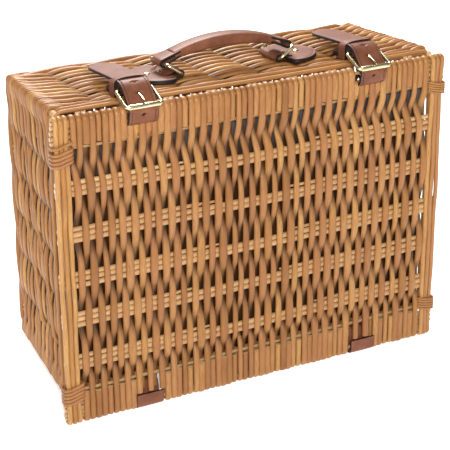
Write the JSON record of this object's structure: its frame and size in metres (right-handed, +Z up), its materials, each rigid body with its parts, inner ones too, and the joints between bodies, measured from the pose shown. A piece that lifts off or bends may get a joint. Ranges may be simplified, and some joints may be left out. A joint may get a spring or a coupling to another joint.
{
  "type": "wicker picnic hamper",
  "caption": "Lidded suitcase-style willow hamper standing on its hinge side, with leather hinges, buckled closing straps and a leather carrying handle on rings.",
  "frame": {"origin": "middle of the bounding box's bottom, on the floor the hamper stands on", "axes": "+X along the hamper's width, -Y towards the lid's outer face, +Z up"},
  "size_m": [0.46, 0.243, 0.363],
  "materials": {
    "willow": "buff willow rods, satin",
    "willow_sticks": "buff willow sticks, satin",
    "leather": "smooth brown leather with dark painted edges",
    "core": "leather filler inside the grip",
    "lining": "plain grey woven cotton",
    "brass": "polished brass"
  },
  "bodies": {
    "basket": {"base_weave": "willow", "base_sticks": "willow_sticks", "base_border": "willow", "front_wall_weave": "willow", "front_wall_stakes": "willow_sticks", "rear_wall_weave": "willow", "rear_wall_stakes": "willow_sticks", "left_wall_weave": "willow", "left_wall_stakes": "willow_sticks", "right_wall_weave": "willow", "right_wall_stakes": "willow_sticks", "post_front_left": "willow_sticks", "post_front_right": "willow_sticks", "post_rear_left": "willow_sticks", "post_rear_right": "willow_sticks", "mouth_border": "willow", "chape_left": "leather", "chape_right": "leather", "keeper_left": "leather", "keeper_right": "leather", "handle_tab_left": "leather", "handle_tab_right": "leather", "tab_rivets": "brass"},
    "lid": {"lid_weave": "willow", "lid_stick_row_1": "willow_sticks", "lid_stick_row_2": "willow_sticks", "lid_stick_row_3": "willow_sticks", "lid_stick_row_4": "willow_sticks", "lid_stick_row_5": "willow_sticks", "lid_border_stick_top": "willow_sticks", "lid_border_stick_bottom": "willow_sticks", "lid_edge_rods_left": "willow_sticks", "lid_edge_rods_right": "willow_sticks", "lid_lining": "lining", "binding_top_left": "willow", "binding_top_right": "willow", "binding_bottom_left": "willow", "binding_bottom_right": "willow", "hinge_leather_left": "leather", "hinge_leather_right": "leather"},
    "handle": {"handle_core": "core", "handle_leather": "leather"},
    "ring_left": {"ring_left": "brass"},
    "ring_right": {"ring_right": "brass"},
    "strap_left": {"strap_left": "leather"},
    "buckle_left": {"buckle_frame_left": "brass"},
    "prong_left": {"prong_left": "brass"},
    "roller_left": {"roller_left": "brass"},
    "strap_right": {"strap_right": "leather"},
    "buckle_right": {"buckle_frame_right": "brass"},
    "prong_right": {"prong_right": "brass"},
    "roller_right": {"roller_right": "brass"}
  },
  "joints": [
    {"name": "lid_hinge", "type": "hinge", "parent": "basket", "child": "lid", "pos_m": [0, -0.1032, 0.02423], "axis": [1, 0, 0], "range_deg": [0, 90], "deforming": ["hinge_leather_left", "hinge_leather_right"]},
    {"name": "handle_lift", "type": "slide", "parent": "basket", "child": "handle", "axis": [0, 0.2355, 0.9719], "range_m": [0, 0.005]},
    {"name": "ring_left_swing", "type": "hinge", "parent": "handle", "child": "ring_left", "pos_m": [-0.079, 0.01892, 0.33961], "axis": [0, 0.9719, -0.2355], "range_deg": [0, 21]},
    {"name": "ring_right_swing", "type": "hinge", "parent": "handle", "child": "ring_right", "pos_m": [0.069, 0.01892, 0.33961], "axis": [0, 0.9719, -0.2355], "range_deg": [-21, 0]},
    {"name": "strap_left_release", "type": "hinge", "parent": "lid", "child": "strap_left", "pos_m": [-0.134, -0.06354, 0.32198], "axis": [1, 0, 0], "range_deg": [0, 90], "deforming": ["strap_left"]},
    {"name": "buckle_left_flip", "type": "hinge", "parent": "basket", "child": "buckle_left", "pos_m": [-0.134, -0.03839, 0.3453], "axis": [-1, 0, 0], "range_deg": [0, 45]},
    {"name": "prong_left_flip", "type": "hinge", "parent": "buckle_left", "child": "prong_left", "pos_m": [-0.134, -0.03839, 0.3453], "axis": [-1, 0, 0], "range_deg": [0, 36]},
    {"name": "roller_left_spin", "type": "hinge", "parent": "buckle_left", "child": "roller_left", "pos_m": [-0.134, -0.06577, 0.34019], "axis": [1, 0, 0], "continuous": true},
    {"name": "strap_right_release", "type": "hinge", "parent": "lid", "child": "strap_right", "pos_m": [0.134, -0.06354, 0.32198], "axis": [1, 0, 0], "range_deg": [0, 90], "deforming": ["strap_right"]},
    {"name": "buckle_right_flip", "type": "hinge", "parent": "basket", "child": "buckle_right", "pos_m": [0.134, -0.03839, 0.3453], "axis": [-1, 0, 0], "range_deg": [0, 45]},
    {"name": "prong_right_flip", "type": "hinge", "parent": "buckle_right", "child": "prong_right", "pos_m": [0.134, -0.03839, 0.3453], "axis": [-1, 0, 0], "range_deg": [0, 36]},
    {"name": "roller_right_spin", "type": "hinge", "parent": "buckle_right", "child": "roller_right", "pos_m": [0.134, -0.06577, 0.34019], "axis": [1, 0, 0], "continuous": true}
  ],
  "couplings": [
    {"joint": "ring_left_swing", "follows": "handle_lift", "rad_per_m": 71.558},
    {"joint": "ring_right_swing", "follows": "handle_lift", "rad_per_m": -71.558},
    {"joint": "buckle_left_flip", "follows": "strap_left_release", "ratio": 0.5},
    {"joint": "prong_left_flip", "follows": "strap_left_release", "ratio": 0.4},
    {"joint": "buckle_right_flip", "follows": "strap_right_release", "ratio": 0.5},
    {"joint": "prong_right_flip", "follows": "strap_right_release", "ratio": 0.4}
  ]
}
